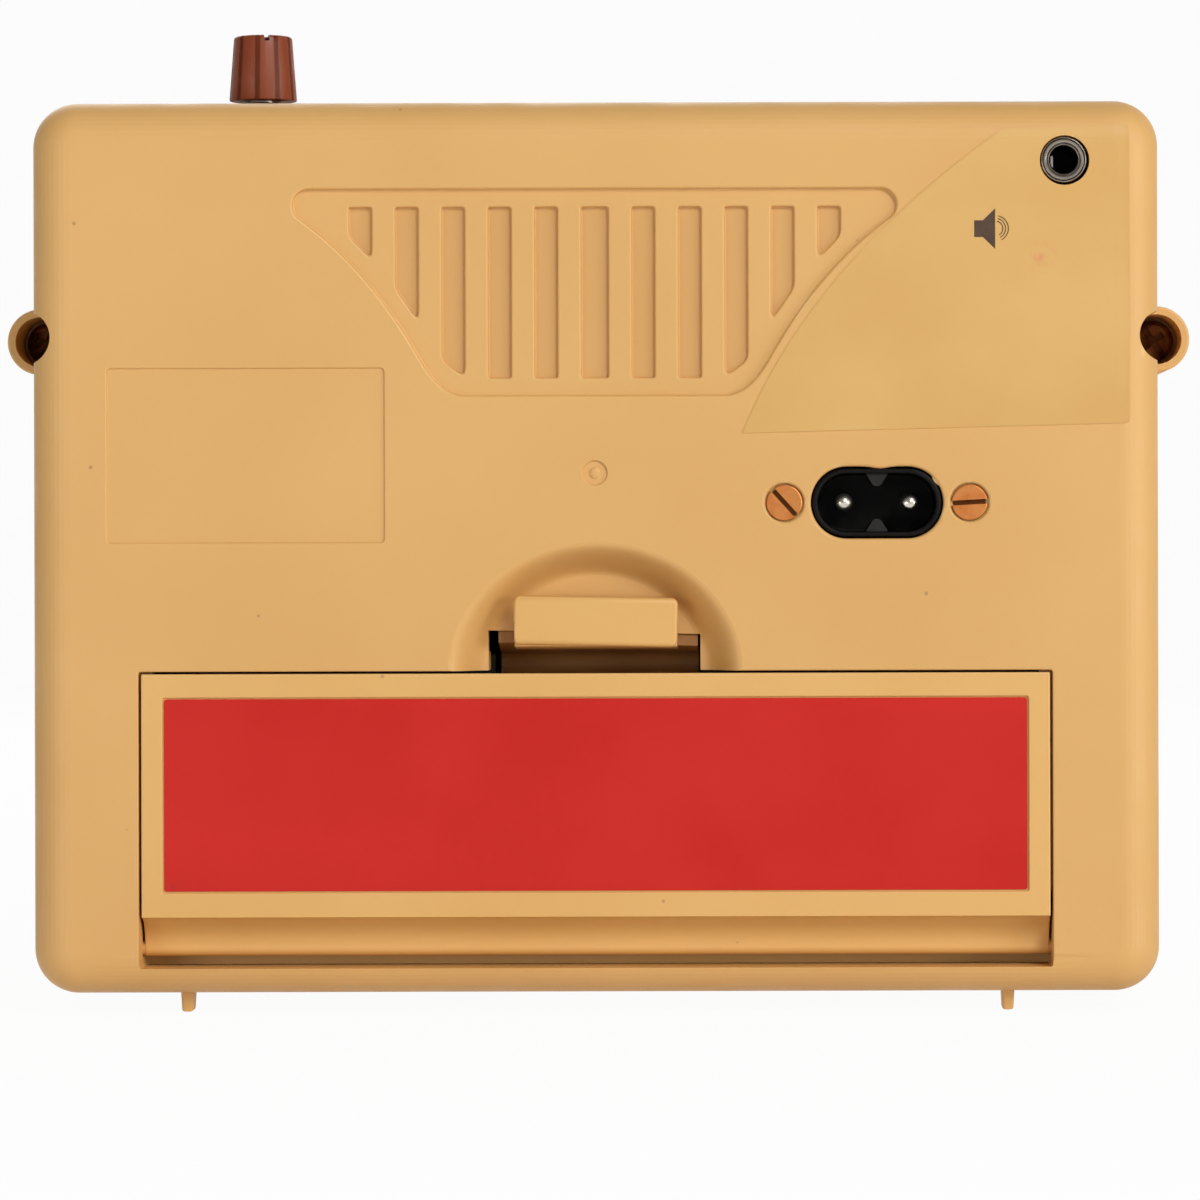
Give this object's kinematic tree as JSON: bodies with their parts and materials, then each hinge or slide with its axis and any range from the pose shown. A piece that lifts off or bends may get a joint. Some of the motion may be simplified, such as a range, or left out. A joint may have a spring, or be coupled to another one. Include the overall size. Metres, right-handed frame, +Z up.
{
  "type": "electronic shruti box",
  "caption": "Electronic shruti box seen from behind: moulded two-shell case with sound slots, battery door with snap latch, mains inlet, jack and tapered knobs.",
  "frame": {"origin": "centre of the part's bounding box in plan, at the level the feet stand on", "axes": "+X to the right seen from behind, +Y from the rear face to the front face, +Z up"},
  "size_m": [0.1562, 0.0732, 0.1288],
  "materials": {
    "case_abs": "moulded ABS with a fine satin grain",
    "door_abs": "moulded ABS, slightly paler than the case",
    "red_print": "printed adhesive label, satin",
    "tan_sheet": "printed adhesive sheet, satin",
    "tray_abs": "moulded plastic, matte",
    "spring_steel": "nickel-plated spring steel",
    "inlet_black": "moulded thermoplastic, matte",
    "nickel": "nickel plate",
    "brass": "turned brass, aged",
    "board_laminate": "paper-phenolic board",
    "ferrite": "dark sintered or laminated core",
    "capacitor_sleeve": "shrink sleeve",
    "speaker_paper": "pressed paper cone",
    "zinc_steel": "zinc-plated steel",
    "knob_brown": "moulded plastic, matte",
    "lamp_red": "clear red epoxy"
  },
  "bodies": {
    "case": {"rear_shell": "case_abs", "front_shell": "case_abs", "connection_label": "tan_sheet", "battery_tray": "tray_abs", "contact_spring_left": "spring_steel", "contact_spring_right": "spring_steel", "contact_plate_left": "spring_steel", "contact_plate_right_lower": "spring_steel", "contact_plate_right_upper": "spring_steel", "mains_inlet": "inlet_black", "inlet_pin_left": "nickel", "inlet_pin_right": "nickel", "inlet_screw_left": "brass", "inlet_screw_right": "brass", "inlet_nut_left": "brass", "inlet_nut_right": "brass", "side_screw_left": "zinc_steel", "side_screw_right": "zinc_steel", "tray_screw_left": "zinc_steel", "tray_screw_right": "zinc_steel", "aux_jack_bush": "nickel", "aux_jack_body": "inlet_black", "aux_jack_contact": "spring_steel", "power_board": "board_laminate", "power_board_screw_1": "zinc_steel", "power_board_screw_2": "zinc_steel", "power_transformer": "ferrite", "power_capacitor": "capacitor_sleeve", "speaker_basket": "zinc_steel", "speaker_cone": "speaker_paper", "speaker_magnet": "ferrite", "speaker_screw_1": "zinc_steel", "speaker_screw_2": "zinc_steel", "speaker_screw_3": "zinc_steel", "speaker_screw_4": "zinc_steel", "main_board": "board_laminate", "main_board_screw_1": "zinc_steel", "main_board_screw_2": "zinc_steel", "main_board_screw_3": "zinc_steel", "main_board_screw_4": "zinc_steel", "volume_pot": "zinc_steel", "volume_nut": "nickel", "pitch_pot": "zinc_steel", "pitch_nut": "nickel", "fine_tune_pot": "zinc_steel", "fine_tune_nut": "nickel", "power_switch_body": "inlet_black", "power_led": "lamp_red"},
    "door": {"battery_door": "door_abs", "door_label": "red_print"},
    "latch": {"door_latch": "door_abs"},
    "volume": {"volume_knob": "knob_brown", "volume_shaft": "nickel"},
    "pitch": {"pitch_knob": "knob_brown", "pitch_shaft": "nickel"},
    "fine_tune": {"fine_tune_knob": "knob_brown", "fine_tune_shaft": "nickel"},
    "power_slider": {"power_switch_slider": "inlet_black"}
  },
  "joints": [
    {"name": "door_hinge", "type": "hinge", "parent": "case", "child": "door", "pos_m": [0, -0.03112, 0.0084], "axis": [1, 0, 0], "range_deg": [0, 65]},
    {"name": "latch_press", "type": "hinge", "parent": "door", "child": "latch", "pos_m": [0, -0.02392, 0.0451], "axis": [1, 0, 0], "range_deg": [0, 12], "stiffness_Nm_per_rad": 0.5},
    {"name": "volume_turn", "type": "hinge", "parent": "case", "child": "volume", "pos_m": [-0.0451, -0.00992, 0.1226], "axis": [0, 0, 1], "range_deg": [-150, 150]},
    {"name": "pitch_turn", "type": "hinge", "parent": "case", "child": "pitch", "pos_m": [-0.038, 0.02958, 0.0286], "axis": [0, 1, 0], "range_deg": [-165, 165]},
    {"name": "fine_tune_turn", "type": "hinge", "parent": "case", "child": "fine_tune", "pos_m": [0.038, 0.02958, 0.0286], "axis": [0, 1, 0], "range_deg": [-150, 150]},
    {"name": "power_slide", "type": "slide", "parent": "case", "child": "power_slider", "axis": [1, 0, 0], "range_m": [0, 0.004]}
  ]
}
